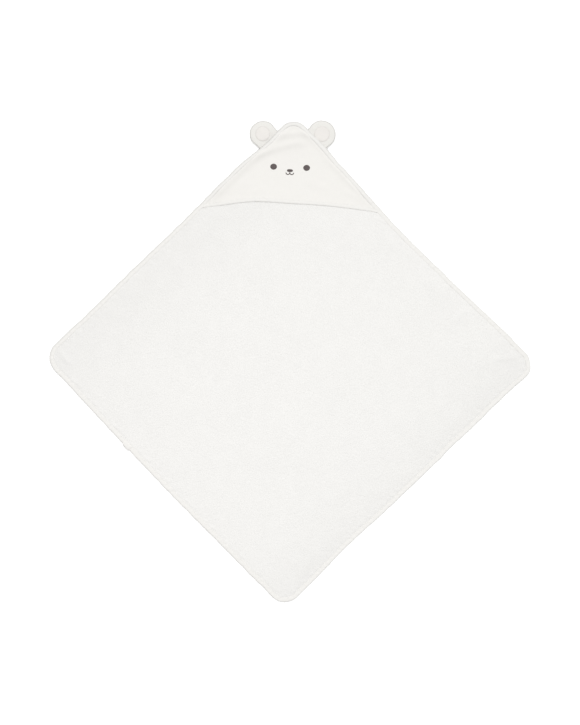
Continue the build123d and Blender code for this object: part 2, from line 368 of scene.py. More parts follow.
def grid_faces(x, y, upright_cuts, level_cuts):
    """The grid's quads, and two triangles for each cell that a cut runs through, both with their middles."""
    cells = len(x) - 1
    middle = cells // 2
    step = x[middle + 1, middle] - x[middle, middle]
    i, j = [side.ravel() for side in np.meshgrid(np.arange(cells), np.arange(cells), indexing="ij")]
    a = i * (cells + 1) + j
    b, c, d = a + cells + 1, a + cells + 2, a + 1
    upright = np.isin(i + j + 1 - cells, np.round(np.array(upright_cuts) / step))
    level = np.isin(j - i, np.round(np.array(level_cuts) / step)) & ~upright
    quads = np.stack([a, b, c, d], axis=-1)[~(upright | level)]
    halves = [(a, b, d, upright), (b, c, d, upright), (a, b, c, level), (a, c, d, level)]
    triangles = np.concatenate([np.stack([p, q, r], axis=-1)[chosen] for p, q, r, chosen in halves])
    return [(f, x.ravel()[f].mean(axis=1), y.ravel()[f].mean(axis=1)) for f in (quads, triangles)]


def both_normals(layers):
    """Smooth normals of the top and the bottom of a sheet over a grid."""
    top, bottom = [unit(np.cross(np.gradient(rows, axis=0), np.gradient(rows, axis=1))) for rows in layers]
    return top, -bottom


def panel_numbers(x, y):
    """Which panel each place belongs to, as its number in PANELS."""
    return np.select([x < -wing_cut, x > wing_cut, y < -foot_cut, y > hood_cut], [1, 2, 3, 4], 0)


def hang(piece, panel):
    """Lets a centre piece of the towel ride on the towel's body, and leaves any other piece where it lies."""
    if panel == "centre":
        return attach(piece, "towel")
    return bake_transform(piece)


# ---- Materials ----
SEAM_SHADE = 0.22  # most share of its colour that painted shade takes from a seam, a fold's edge or any other shaded place
TONE_DRIFT = (0.988, 1.006)  # the cloth's tone changes unevenly between these shares of its colour
LOOP_STRETCH = (1, 0.8, 1)
LOOP_SCATTER = 0.75
WAVE_SCALE = 20  # a wave texture of scale 1 turns through this many radians in a unit of length
RIB_BEND = 0.6


class Nodes:
    """A short way to write the nodes of a material or a world."""

    def __init__(self, owner):
        owner.use_nodes = True
        self.owner, self.tree = owner, owner.node_tree

    def fill(self, node, inputs):
        """Gives a node its inputs, each of which is a value or another node's output."""
        for key, value in inputs.items():
            if isinstance(value, bpy.types.NodeSocket):
                self.tree.links.new(value, node.inputs[key])
            else:
                node.inputs[key].default_value = value
        return node

    def new(self, kind, inputs=None, **settings):
        """A new node with its settings and inputs."""
        node = self.tree.nodes.new(kind)
        for key, value in settings.items():
            setattr(node, key, value)
        return self.fill(node, inputs or {})

    def mark(self, name):
        """The mesh's own record of its places at rest, or of the shade painted on it."""
        return self.new("ShaderNodeAttribute", attribute_name=name).outputs

    def turned(self, heading=pi / 4, stretch=(1, 1, 1)):
        """Places on the cloth, turned to run along the towel's sides or another heading."""
        inputs = {"Vector": self.mark("place")["Vector"], "Rotation": (0, 0, heading), "Scale": stretch}
        return self.new("ShaderNodeMapping", inputs).outputs[0]

    def noise(self, size, detail=2.0):
        """Soft noise with features of the given size, from 0 to 1."""
        inputs = {"Vector": self.turned(), "Scale": 1 / size, "Detail": detail}
        return self.new("ShaderNodeTexNoise", inputs).outputs["Fac"]

    def loops(self, size):
        """Rounded, closely packed loops of pile, highest in their middles."""
        place = self.turned(stretch=LOOP_STRETCH)
        inputs = {"Vector": place, "Scale": 1 / size, "Randomness": LOOP_SCATTER}
        distance = self.new("ShaderNodeTexVoronoi", inputs, feature="SMOOTH_F1").outputs["Distance"]
        return self.new("ShaderNodeMath", {0: 1.0, 1: distance}, operation="SUBTRACT").outputs[0]

    def ribs(self, size, heading):
        """Fine parallel ribs, as of a knit or a twisted thread."""
        scale = 2 * pi / size / WAVE_SCALE
        inputs = {"Vector": self.turned(heading), "Scale": scale, "Distortion": RIB_BEND, "Detail": 1.0}
        return self.new("ShaderNodeTexWave", inputs).outputs["Fac"]

    def bump(self, height, distance, before=None):
        """Relief on top of the relief before it."""
        inputs = {"Height": height, "Distance": distance, "Strength": 1.0}
        if before is not None:
            inputs["Normal"] = before
        return self.new("ShaderNodeBump", inputs).outputs["Normal"]

    def tint(self, colour, other, share):
        """A colour that turns into another as share goes from 0 to 1."""
        inputs = {0: share, 6: (*colour, 1), 7: (*other, 1)}
        return self.new("ShaderNodeMix", inputs, data_type="RGBA").outputs[2]

    def scaled(self, colour, share, **limits):
        """The colour, brighter or darker by a factor that share moves between two limits."""
        factor = self.new("ShaderNodeMapRange", {"Value": share, **limits}).outputs[0]
        return self.new("ShaderNodeVectorMath", {0: colour, 1: factor}, operation="MULTIPLY").outputs[0]

    def drifting(self, colour, noise):
        """The colour with a faint, uneven change of tone."""
        low, high = TONE_DRIFT
        return self.scaled(colour, noise, **{"From Min": 0.3, "From Max": 0.7, "To Min": low, "To Max": high})

    def with_painted_shade(self, colour):
        """The colour with painted shade, darker in seams, along folds and wherever else the mesh's shade mark
        is set.
        """
        return self.scaled(colour, self.mark("shade")["Fac"], **{"To Min": 1.0, "To Max": 1 - SEAM_SHADE})

    def cloth(self, colour, normal, roughness, sheen):
        """Joins the parts to the shader."""
        inputs = {"Base Color": colour, "Normal": normal, "Roughness": roughness, "Sheen Weight": sheen}
        inputs |= {"Sheen Roughness": 0.5, "Specular IOR Level": 0.25}
        self.fill(self.tree.nodes["Principled BSDF"], inputs)
        return self.owner


def darker(colour, share):
    """The same colour with share of its light taken away, or added if share is less than 0."""
    return tuple(channel * (1 - share) for channel in colour)


def pile_cloth(name, colour, loop, height):
    """Terry or sheared pile: loops in rows, with soft unevenness of height and tone."""
    nodes = Nodes(bpy.data.materials.new(name))
    loops = nodes.loops(loop)
    normal = nodes.bump(nodes.noise(5 * MM, detail=3.0), 0.2 * height)
    normal = nodes.bump(loops, height, before=normal)
    normal = nodes.bump(nodes.noise(0.35 * MM), 0.3 * height, before=normal)
    # Painted shade and light: the gaps between the loops are painted darker and the loops' tops lighter.
    tone = nodes.tint(darker(colour, 0.10), darker(colour, -0.035), loops)
    tone = nodes.drifting(tone, nodes.noise(28 * MM, detail=3.0))
    return nodes.cloth(nodes.with_painted_shade(tone), normal, 0.95, sheen=0.12)


def knit_cloth(name, colour, rib):
    """A smooth, fine knit."""
    nodes = Nodes(bpy.data.materials.new(name))
    normal = nodes.bump(nodes.noise(2.5 * MM, detail=3.0), 0.08 * MM)
    normal = nodes.bump(nodes.ribs(rib, 0.0), 0.05 * MM, before=normal)
    tone = nodes.tint(darker(colour, 0.02), colour, nodes.noise(18 * MM, detail=4.0))
    return nodes.cloth(nodes.with_painted_shade(tone), normal, 0.85, sheen=0.1)


def thread(name, colour, shine, unevenness):
    """Twisted thread, with strands that catch the light."""
    nodes = Nodes(bpy.data.materials.new(name))
    normal = nodes.bump(nodes.ribs(0.25 * MM, pi / 5), 0.04 * MM)
    tone = nodes.tint(darker(colour, unevenness), colour, nodes.noise(0.8 * MM))
    return nodes.cloth(tone, normal, 1 - shine, sheen=0.1)


# The look of each of the record's material slots.
WHITE = (0.755, 0.748, 0.732)
materials = {
    "terry": pile_cloth("terry_loops", WHITE, 1.7 * MM, 0.62 * MM),
    "hood_cloth": knit_cloth("hood_velour", (0.743, 0.730, 0.704), 0.9 * MM),
    "lining_cloth": pile_cloth("lining_loops", WHITE, 1.3 * MM, 0.4 * MM),
    "binding_cloth": knit_cloth("binding_knit", (0.740, 0.730, 0.708), 0.7 * MM),
    "ear_cloth": pile_cloth("ear_pile", (0.716, 0.706, 0.678), 1.0 * MM, 0.2 * MM),
    "inner_ear_cloth": knit_cloth("inner_ear_knit", (0.718, 0.696, 0.670), 0.7 * MM),
    "white_thread": thread("white_thread", (0.80, 0.79, 0.77), 0.3, 0.12),
    "face_thread": thread("face_thread", (0.125, 0.102, 0.101), 0.45, 0.25),
    "label_satin": knit_cloth("label_satin", (0.75, 0.745, 0.735), 0.4 * MM),
    "interlining": knit_cloth("interlining_felt", (0.7, 0.7, 0.7), 0.5 * MM),
}


# ---- Terry ----
TERRY_SPACING = 2.2 * MM
TERRY_TUCK = 4 * MM  # the terry's border lies inside the binding, this far from the towel's edge
TERRY_TOP = 3.3 * MM
TERRY_RIM = 2.6 * MM  # top of the terry where the binding presses it
RIM_EDGE = (9.2 * MM, 11.6 * MM)  # the cloth swells up beside the binding between these distances in
SUNK_UNDER_HOOD = 0.6 * MM

# Relief: its height, then its length.
SWELL, SWELL_LENGTH = 0.5 * MM, 190 * MM
PILE_GRAIN = 0.045 * MM
PILE_CLUMP, CLUMP_LENGTH = 0.05 * MM, 12 * MM
PUCKER, PUCKER_LENGTH = 0.25 * MM, 15 * MM

# Faint creases near the corners, in millimetres: start, end, width and height.
CREASES = (
    ((-515, 30), (-470, -20), 6, 1.2),
    ((500, 20), (430, 10), 8, 0.8),
    ((395, 135), (350, 90), 7, 0.8),
    ((35, -480), (65, -400), 8, 0.7),
)

# Painted shade along two sides, where less light falls: how dark, and how far in.
UPPER_LEFT_PAINTED_SHADE, LOWER_RIGHT_PAINTED_SHADE = (0.13, 0.11), (0.12, 0.08)


def terry_heights(x, y):
    """Top and bottom of the terry."""
    inset = inset_of(x, y)
    under_hood = ramp(y, hem_middle, hem_middle + 6 * MM)
    lift = SWELL * np.maximum(1 + waves(x, y, SWELL_LENGTH, seed=3), 0) * ramp(y, 0.36, 0.28)
    for start, end, width, height in CREASES:
        lift = lift + MM * ridge(x, y, start, end, width, height)
    lift = lift * ramp(inset, 0, 40 * MM)
    random = np.random.default_rng(11)
    pile = PILE_GRAIN * random.normal(size=x.shape) + PILE_CLUMP * waves(x, y, CLUMP_LENGTH, seed=5)
    pucker = PUCKER * waves(x, y, PUCKER_LENGTH, seed=7) * bell(inset, 14 * MM, 7 * MM)
    top = TERRY_RIM + (TERRY_TOP - TERRY_RIM) * ramp(inset, *RIM_EDGE)
    top = top + (lift + pile + pucker) * (1 - under_hood) - SUNK_UNDER_HOOD * under_hood
    bottom = 0.1 * MM + 0.9 * lift + 0.5 * MM * ramp(inset, 15 * MM, 9 * MM)
    label = box_of("care_label")[0]
    bottom = bottom + 0.4 * MM * ramp(np.hypot(x - label[0], y - label[1]), 32 * MM, 26 * MM)
    return top, bottom + np.abs(0.05 * MM * random.normal(size=x.shape))


def terry_painted_shade(x, y):
    """How much painted shade lies along the upper left and lower right sides."""
    u = along_sides(x, y)[0]
    sides = ((half_side + u, *UPPER_LEFT_PAINTED_SHADE), (half_side - u, *LOWER_RIGHT_PAINTED_SHADE))
    return sum(depth * bell(inward / reach) for inward, depth, reach in sides)


def make_terry():
    """The terry in five panels that meet along the fold lines."""
    x, y = cloth_grid(TERRY_TUCK, TERRY_SPACING)
    cells = grid_faces(x, y, (-wing_cut, 0.0, wing_cut), (-foot_cut, hood_cut))
    layers = lay_layers(x, y, *terry_heights(x, y))
    normals, shade = both_normals(layers), terry_painted_shade(x, y)
    for number, panel in enumerate(PANELS):
        for part, sign in HALVES if panel == "centre" else (("cloth", 0),):
            groups = [
                faces[(panel_numbers(middle_x, middle_y) == number) & (middle_x * sign >= 0)]
                for faces, middle_x, middle_y in cells
            ]
            surface = Surface().sheet(groups, layers, normals, shade)
            hang(surface.piece(f"terry_{panel}", part, "terry"), panel)


# ---- Binding and its stitching ----
BINDING_SPACING = 1.1 * MM
BINDING_TOP = 3.4 * MM
HOOD_BINDING_TOP = 6.3 * MM  # where it also holds the hood
EDGE_STITCH = 8.5 * MM  # distance of the topstitching from the towel's edge
STITCH_SHARE = 0.84  # of its pitch that a stitch covers
STITCH_RADII = 0.25 * MM * np.array([0.55, 1.0, 1.0, 1.0, 0.55])
STITCH_DIP = np.array([-0.32, 0.05, 0.12, 0.05, -0.32]) * MM
LAP_LENGTH = 18 * MM  # of the overlap of the binding's two ends
LAP_OUT, LAP_UP = 2.6 * MM, 0.9 * MM

# The folded strip's section, from its upper inner edge out over the fold to its lower inner edge: distance in
# from the towel's edge in millimetres, height as a share of the binding's, and millimetres on top of that.
BINDING_SECTION = (
    (10.0, 0.80, -0.10), (9.7, 1.0, -0.16), (9.2, 1.0, -0.05), (8.5, 1.0, -0.14), (7.8, 1.0, -0.02),
    (6.0, 1.0, 0.06), (4.4, 1.0, -0.02), (3.0, 1.0, -0.07), (1.8, 1.0, -0.18), (0.8, 0.96, -0.38),
    (0.25, 0.80, -0.40), (0.0, 0.42, 0.0), (0.35, 0.12, 0.12), (1.6, 0.0, 0.15), (4.5, 0.0, 0.0),
    (8.5, 0.0, 0.25), (10.0, 0.0, 0.35),
)
BINDING_CROWN = (5.5, 3.2)  # middle and reach, in millimetres from the edge, of the strip's swelling
STITCH_DENT = (EDGE_STITCH / MM, 1.2)  # and of the stitches' dents
PAINTED_SEAM_LINE = (9.2, 1.6)  # and of the painted shade line beside the hood
OUTER_SHADE = 2.4  # and reach of the painted shade on the strip's outer side


def outline_path(spacing, inset=0.0):
    """Places round the towel's edge with their outward normals and distances, clockwise from the tip."""
    arcs = []
    for heading in (90, 0, -90, -180):
        radius = TIP_RADIUS if heading == 90 else CORNER_RADIUS
        steps = max(4, round(radius * pi / 2 / spacing))
        turn = np.radians(heading + 45 - 90 * np.arange(steps + 1) / steps)
        normal = np.stack([np.cos(turn), np.sin(turn)], axis=-1)
        middle = np.array([np.cos(radians(heading)), np.sin(radians(heading))])
        arcs.append((middle * (half_diagonal - radius * sqrt(2)) + normal * (radius - inset), normal))
    places, normals = [], []
    for (arc, normal), (following, _) in zip(arcs, arcs[1:] + arcs[:1]):
        steps = round(np.linalg.norm(following[0] - arc[-1]) / spacing)
        places += [arc, np.linspace(arc[-1], following[0], steps + 1)[1:-1]]
        normals += [normal, np.repeat(normal[-1:], steps - 1, axis=0)]
    places, normals = np.concatenate(places), np.concatenate(normals)
    return places, normals, lengths_along(places)


def lengths_along(places):
    """Distance of each place from the first, along them."""
    return np.concatenate([[0], np.cumsum(np.linalg.norm(np.diff(places, axis=0), axis=1))])


def beyond_hood_fold(y, start, length):
    """0 up to a start above the hood's fold line, rising to 1 over a length."""
    return ramp(y, hood_fold + start, hood_fold + start + length)


def binding_height(y):
    """Top of the binding, which is higher where it also holds the hood."""
    return BINDING_TOP + (HOOD_BINDING_TOP - BINDING_TOP) * beyond_hood_fold(y, 12 * MM, 45 * MM)


def lap_share(places):
    """1 over the binding's overlap, which is beside the care label, and 0 away from it."""
    u, v = along_sides(*places.T)
    label = along_sides(*box_of("care_label")[0][:2])[0]
    share = ramp(np.abs(u - label), LAP_LENGTH / 2 + 1.5 * MM, LAP_LENGTH / 2 - 1.5 * MM)
    return share * (v < -half_side + CORNER_RADIUS)


def runs_of(numbers, wanted):
    """Rows of stations with the wanted panel number. Those of a corner reach one station past both ends."""
    chosen = numbers == wanted
    extra = min(wanted, 1)
    for start in np.flatnonzero(chosen & ~np.roll(chosen, 1)):
        length = 1
        while chosen[(start + length) % len(chosen)]:
            length += 1
        yield (start + np.arange(-extra, length + extra)) % len(chosen)


def make_binding():
    """The folded strip round the edge, puckered by its stitching, in five panels."""
    places, normals, along = outline_path(BINDING_SPACING)
    height, lap = binding_height(places[:, 1]), lap_share(places)
    hood = beyond_hood_fold(places[:, 1], 14 * MM, 40 * MM)
    upper_left = -along_sides(*normals.T)[0]
    # Painted shade on the strip's outer side, heavier where that side faces up and to the left and where the
    # strip holds the hood; and a painted dark line beside the hood's seam.
    painted_outer_shade = np.clip(0.30 + 0.50 * upper_left + 0.25 * normals[:, 1] + 0.15 * hood, 0, 1)
    stitch_wave = np.cos(2 * pi * along / STITCH_PITCH)
    wander, swell = [waves(along, 0 * along, size * MM, seed, count=10) for size, seed in ((34, 21), (9, 22))]
    rings, shades = [], []
    for inward, share, extra in BINDING_SECTION:
        aside = inward * MM - 0.35 * MM * wander * (inward < 9.9) - lap * LAP_OUT * bell(inward / 5)
        aside = aside + 0.18 * MM * stitch_wave * (inward > 9)
        z = height * share + extra * MM
        if share > 0:
            z = z + 0.22 * MM * bell(inward, *BINDING_CROWN) * swell
            z = z + 0.12 * MM * bell(inward, *STITCH_DENT) * stitch_wave
            z = z + LAP_UP * lap * share * ramp(inward, 10, 8)
        painted_seam_shade = (0.7 + 0.25 * upper_left) * hood * bell(inward, *PAINTED_SEAM_LINE)
        shades.append(painted_outer_shade * bell(inward / OUTER_SHADE) + painted_seam_shade)
        rings.append(np.column_stack([places - normals * aside[:, None], np.maximum(z, 0)]))
    rings, shades = lay(np.stack(rings, axis=1)), np.stack(shades, axis=1)
    facing = ring_normals(rings, closed=True)
    numbers = panel_numbers(*places.T)
    for number, panel in enumerate(PANELS):
        surface = Surface()
        for run in runs_of(numbers, number):
            surface.sweep(rings[run], facing[run], shades[run])
        hang(surface.piece(f"binding_{panel}", "strip", "binding_cloth"), panel)


def stitch_rows(places, heights, along):
    """Middles of evenly pitched stitches on a line of places: one row of five points for each stitch."""
    count = int(along[-1] / STITCH_PITCH)
    steps = np.linspace((1 - STITCH_SHARE) / 2, (1 + STITCH_SHARE) / 2, 5)
    distance = (np.arange(count)[:, None] + steps) * along[-1] / count
    x, y, z = [np.interp(distance, along, value) for value in (places[:, 0], places[:, 1], heights)]
    return np.stack([x, y, z + STITCH_DIP], axis=-1)


def make_edge_stitches():
    """Topstitching along the binding's inner side, above and below."""
    edge = outline_path(1.0 * MM)[0]
    places, _, along = outline_path(1.0 * MM, inset=EDGE_STITCH)
    upper = stitch_rows(places, binding_height(edge[:, 1]) - 0.08 * MM, along)
    lower = upper.copy()
    lower[..., 2] = 0.3 * MM
    numbers = panel_numbers(upper[:, 2, 0], upper[:, 2, 1])
    for number, panel in enumerate(PANELS):
        surface = Surface()
        for rows in (upper, lower):
            surface.threads(lay(rows[numbers == number]), STITCH_RADII, flatness=0.65)
        hang(surface.piece(f"edge_thread_{panel}", "stitches", "white_thread"), panel)


# ---- Hood front ----
HOOD_SPACING = 1.8 * MM
HOOD_TUCK = 5 * MM
HOOD_TOP = 5.2 * MM
SHELL_THICKNESS = 0.8 * MM
LINING_THICKNESS = 1.0 * MM
BACKING_THICKNESS = 0.2 * MM

# The hood's mouth: how it hangs, arches, tilts and is pulled up left of its middle, all beside the CAD's.
HEM_SAG = 3.4 * MM
HEM_ARCH = 14 * MM
HEM_TILT = -0.002
HEM_CREST, CREST_MIDDLE, CREST_REACH = 4.5 * MM, -75 * MM, 55 * MM
HEM_WIDTH = 9 * MM
HEM_STITCH = 7.6 * MM
HEM_STATIONS = 190

# The hem strip's section, as for the binding: millimetres up from the hem, then above the shell's top.
HEM_SECTION = (
    (9.0, -0.15), (8.7, 0.03), (8.2, 0.12), (7.6, -0.04), (7.0, 0.14), (5.0, 0.22), (3.0, 0.16), (1.5, -0.05),
    (0.5, -0.5), (0.0, -1.0), (0.3, -1.6), (1.2, -1.85), (4.0, -1.9), (9.0, -1.8),
)

# Soft folds in the hood, in millimetres: start, end, half width, height and how far the fold bows upwards.
HOOD_FOLDS = (
    ((-42, 489), (54, 491), 8.0, 1.35, 9),
    ((-92, 438), (40, 481), 8.5, 1.4, 10),
    ((-190, 345), (-70, 392), 11, 0.7, 6),
    ((50, 452), (150, 372), 10, 0.9, 6),
    ((20, 396), (85, 372), 9, 0.45, 4),
    ((-120, 362), (-40, 372), 8, 0.35, 3),
    ((105, 380), (172, 345), 6, 0.5, 3),
)
FOLD_SHADE = 0.14  # painted shade in the lee of the first two

# The hood swells up beside its seams: the rise and its reach, and what the left side adds to them.
PUFF, PUFF_REACH = 1.2 * MM, 6 * MM
LEFT_PUFF, LEFT_PUFF_REACH = 0.7 * MM, 4.5 * MM
HOOD_ENDS = (0.14, 0.185)  # distance from the middle over which the hood flattens towards its two ends
ROLL, ROLL_LENGTH = 0.30 * MM, 75 * MM
DIMPLE, DIMPLE_LENGTH = 0.07 * MM, 14 * MM


def hem_line(x):
    """Y of the hood's mouth."""
    arch = HEM_ARCH * (x / hem_reach) ** 2
    return hem_middle - HEM_SAG + HEM_TILT * x - arch + HEM_CREST * bell(x, CREST_MIDDLE, CREST_REACH)


def hood_height(x, y):
    """Top of the hood's shell, with the folds that lie in it."""
    inset = inset_of(x, y)
    left = ramp(x, 10 * MM, -30 * MM)
    near_end = ramp(np.abs(x), *HOOD_ENDS)
    puff = (PUFF + LEFT_PUFF * left) * (1 - 0.8 * near_end)
    beside_seam = bell(np.maximum(inset - 10.5 * MM, 0) / (PUFF_REACH + LEFT_PUFF_REACH * left))
    height = HOOD_TOP + puff * beside_seam - 1.0 * MM * near_end
    height = height + ROLL * waves(x, y, ROLL_LENGTH, seed=31) + DIMPLE * waves(x, y, DIMPLE_LENGTH, seed=32)
    for start, end, width, rise, bow in HOOD_FOLDS:
        height = height + MM * ridge(x, y, start, end, width, rise, bow)
    return height - 2.0 * MM * ramp(inset, 10 * MM, 7.5 * MM)


def hood_painted_shade(x, y):
    """How much painted shade lies in a fold's lee or beside a seam."""
    inset = inset_of(x, y)
    left, right = 0.17 * bell(inset, 15 * MM, 7 * MM) * (x < 0), 0.03 * bell(inset, 17 * MM, 6 * MM) * (x > 0)
    shade = (left + right) * ramp(y, 0.46, 0.43) * ramp(y, 0.335, 0.365)
    for start, end, width, _, bow in HOOD_FOLDS[:2]:
        shade = shade + ridge(x, y + 1.1 * width * MM, start, end, width, FOLD_SHADE, bow)
    return shade


def hang_hood(piece):
    """Leaves a piece of the hood front where it lies."""
    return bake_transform(piece)


def make_hood_cloth():
    """Shell, lining and embroidery backing, each in a left and a right half that meet on the centre line."""
    x, y = cloth_grid(HOOD_TUCK, HOOD_SPACING)
    cut = hem_low.y + HEM_DROP / 2
    cells = grid_faces(x, y, (0.0,), (cut,))
    mouth = hem_line(x) + HEM_WIDTH * 0.25
    shaped = y + (mouth - cut) * ramp(y, cut + 60 * MM, cut)
    height, shade = hood_height(x, shaped), hood_painted_shade(x, shaped)
    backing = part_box("embroidery_backing")
    for node, drop, thickness, slot in (
        ("hood_shell", 0, SHELL_THICKNESS, "hood_cloth"),
        ("hood_lining", SHELL_THICKNESS + 0.2 * MM, LINING_THICKNESS, "lining_cloth"),
        ("embroidery_backing", SHELL_THICKNESS + 0.05 * MM, BACKING_THICKNESS, "interlining"),
    ):
        layers = lay_layers(x, shaped, height - drop, height - drop - thickness)
        normals = both_normals(layers)
        for side, sign in HALVES:
            groups = []
            for faces, middle_x, middle_y in cells:
                chosen = (middle_y > cut) & (middle_x * sign > 0)
                if node == "embroidery_backing":
                    inside = (middle_y > backing[0].y) & (middle_y < backing[1].y)
                    chosen = chosen & inside & (np.abs(middle_x) < backing[1].x)
                groups.append(faces[chosen])
            surface = Surface().sheet(groups, layers, normals, shade)
            hang_hood(surface.piece(node, side, slot))


def make_hem():
    """The strip round the hood's mouth and its stitching, in two halves."""
    reach = hem_reach - 11 * MM
    for side, sign in HALVES:
        x = np.linspace(max(sign, 0), min(sign, 0), HEM_STATIONS) * reach
        edge = np.column_stack([x, hem_line(x)])
        slope = np.gradient(edge[:, 1], x)
        upward = unit(np.stack([-slope, np.ones_like(slope)], axis=-1))
        wobble = 0.15 * MM * waves(x, 0 * x, 11 * MM, seed=41)
        rings = []
        for rise, extra in HEM_SECTION:
            place = edge + upward * rise * MM
            z = hood_height(place[:, 0], np.maximum(place[:, 1], edge[:, 1])) + extra * MM
            rings.append(np.column_stack([place, z + wobble * (extra > 0)]))
        rings = lay(np.stack(rings, axis=1))
        surface = Surface().sweep(rings, ring_normals(rings, closed=False))
        hang_hood(surface.piece("hood_hem_binding", side, "binding_cloth"))

        line = edge + upward * HEM_STITCH
        heights = hood_height(*line.T) + 0.12 * MM
        surface = Surface().threads(lay(stitch_rows(line, heights, lengths_along(edge))), STITCH_RADII)
        hang_hood(surface.piece("hood_hem_thread", side, "white_thread"))


# ---- Face ----
STRAND_GAP = 0.40 * MM
STRAND_RADII = 0.24 * MM * np.array([0.7, 1, 1, 1, 1, 1, 1, 1, 0.7])
EYE_WIDTH, EYE_DEPTH = 0.97, 0.83  # shares of the CAD size that the drawn-in stitches cover
NOSE_WIDTH, NOSE_DEPTH = 0.86, 0.74
NOSE_POWER = 2.6  # of the nose's outline, which is squarer than an ellipse
NOSE_DROP = 1.0 * MM
MOUTH_RISE = 0.5 * MM
MOUTH_STROKE = 1.8 * MM
FACE_SHIFT = np.array([-1.0, -0.5]) * MM  # how the face sits on the hood as it was sewn, with its turn
FACE_TURN = radians(-0.6)


def add_satin(surface, starts, ends, dome, seed):
    """Satin stitches, one strand for each start and end, raised in their middles over the cloth."""
    random = np.random.default_rng(seed)
    steps = np.linspace(0, 1, len(STRAND_RADII))
    loose = random.uniform(-0.12, 0.12, (len(starts), 2, 1)) * MM
    heading = unit(ends - starts)
    starts, ends = starts - heading * loose[:, 0], ends + heading * loose[:, 1]
    starts, ends = [place + FACE_SHIFT + place[:, :1] * (0, FACE_TURN) for place in (starts, ends)]
    flat = starts[:, None] + (ends - starts)[:, None] * steps[:, None]
    arch = dome * np.sqrt(np.clip(1 - (2 * steps - 1) ** 2, 0, 1))
    arch = arch + random.uniform(0, 0.05, (len(starts), 1)) * MM
    height = hood_height(flat[..., 0], flat[..., 1]) - 0.15 * MM
    return surface.threads(lay(np.dstack([flat, height + arch])), STRAND_RADII)


def make_eye(side, sign):
    """A round eye of level strands."""
    middle, (radius, _, _) = box_of(f"{side}_eye")
    rows = np.arange(-radius + STRAND_GAP / 2, radius, STRAND_GAP)
    half = np.column_stack([np.sqrt(radius**2 - rows**2) * EYE_WIDTH, 0 * rows])
    spine = middle[:2] + np.column_stack([0 * rows, rows * EYE_DEPTH])
    surface = add_satin(Surface(), spine - half, spine + half, 0.75 * MM, seed=51)
    hang_hood(surface.piece(f"{side}_eye", "satin", "face_thread"))


def make_nose(side, sign):
    """Half of the nose, of upright strands."""
    middle, size = box_of("nose")
    half_width, half_depth = size[:2] * (NOSE_WIDTH, NOSE_DEPTH)
    rows = sign * np.arange(STRAND_GAP / 2, half_width, STRAND_GAP)
    half = half_depth * (1 - np.abs(rows / half_width) ** NOSE_POWER) ** (1 / NOSE_POWER)
    starts, ends = [np.column_stack([rows, middle[1] - NOSE_DROP + way * half]) for way in (-1, 1)]
    surface = add_satin(Surface(), starts, ends, 0.7 * MM, seed=53)
    hang_hood(surface.piece("nose", f"{side}_satin", "face_thread"))


def make_mouth(side, sign):
    """Half of the mouth: an arc below the nose and half of the stem that joins them."""
    low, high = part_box("mouth")
    arc = (high.x - MOUTH_STROKE / 2) / 2
    arc_height = low.y + arc + MOUTH_STROKE / 2 + MOUTH_RISE
    turn = np.arange(0, pi, STRAND_GAP / arc)
    spoke = np.column_stack([-sign * np.cos(turn), -np.sin(turn)])
    ends = [(sign * arc, arc_height) + spoke * (arc + way * MOUTH_STROKE / 2) for way in (-1, 1)]
    for row in ends:
        row[:, 0] = sign * np.maximum(sign * row[:, 0], 0.1 * MM)
    surface = add_satin(Surface(), *ends, 0.45 * MM, seed=55)
    stem = np.arange(arc_height, high.y, STRAND_GAP)
    starts = np.column_stack([np.full(len(stem), sign * 0.05 * MM), stem])
    add_satin(surface, starts, starts + (sign * MOUTH_STROKE / 2, 0), 0.3 * MM, seed=56)
    hang_hood(surface.piece("mouth", f"{side}_satin", "face_thread"))


# ---- Ears ----
EAR_RADIUS = 28.9 * MM
EAR_STAND_OFF = 15 * MM  # of the ear's middle from the towel's edge
EAR_HALF_BASE = 27.2 * MM
EAR_TUCK = 6 * MM  # how far the ear's base reaches under the binding
EAR_PAD = 2.4 * MM  # half of the ear's thickness
EAR_LEVEL = 3.0 * MM
EAR_WAVE, EAR_WAVE_LENGTH = 0.25 * MM, 30 * MM
GATHER, GATHER_RIPPLE, RIPPLE_LENGTH = 0.3 * MM, 0.18 * MM, 2.2 * MM  # at the ear's base
PATCH_RADIUS = 16.8 * MM
PATCH_STITCH = 15.6 * MM
PATCH_MIDDLE = EAR_STAND_OFF + 0.6 * MM
PATCH_PROUD = 0.75 * MM
PATCH_AROUND = 84
PATCH_SHADE = 0.20  # painted shade in the groove round the patch

# Rings of points on an ear and on its patch, as shares of their outlines, close together at the rim.
EAR_RINGS = np.concatenate([[1.0, 0.995, 0.985, 0.968, 0.945, 0.91], np.linspace(0.86, 0.06, 14)])
PATCH_RINGS = np.concatenate([[1.0, 0.99, 0.97, 0.94, 0.90], np.linspace(0.84, 0.06, 12)])

# How each ear came to rest: its size as a share of the drawn one, and how far it was pushed aside.
EAR_STRETCH = {"left": 0.97, "right": 1.03}
EAR_PUSH = {"left": np.array([-3.6, 2.1, 0]) * MM, "right": np.array([-2.0, -0.7, 0]) * MM}

# An ear's layers, from the back: the share of its padding and the height on top of that where the layer ends
# below and above, the share of the outline that it fills, and its slot.
EAR_LAYERS = (
    ("ear_back", (-1.0, 0.0), (0.0, -0.05 * MM), 1.0, "ear_cloth"),
    ("ear_interlining", (0.0, -0.04 * MM), (0.0, 0.04 * MM), 0.93, "interlining"),
    ("ear_front", (0.0, 0.05 * MM), (1.0, 0.0), 1.0, "ear_cloth"),
)


def ear_axes(side):
    """Middle of the ear's base on the towel's edge, the way along the edge and the way out of it."""
    base, sign = np.array(joints[f"{side}_ear_flop"]["pos_m"][:2]), dict(HALVES)[side]
    return base, np.array([sign, -1]) * SLANT, np.array([sign, 1]) * SLANT


def lay_ear(side, p, q, z):
    """Places on an ear, given along the towel's edge and out of it, moved to where they came to rest."""
    base, along, out = ear_axes(side)
    flat = base + (p[:, None] * along + q[:, None] * out) * EAR_STRETCH[side]
    return lay(np.column_stack([flat, z])) + EAR_PUSH[side]


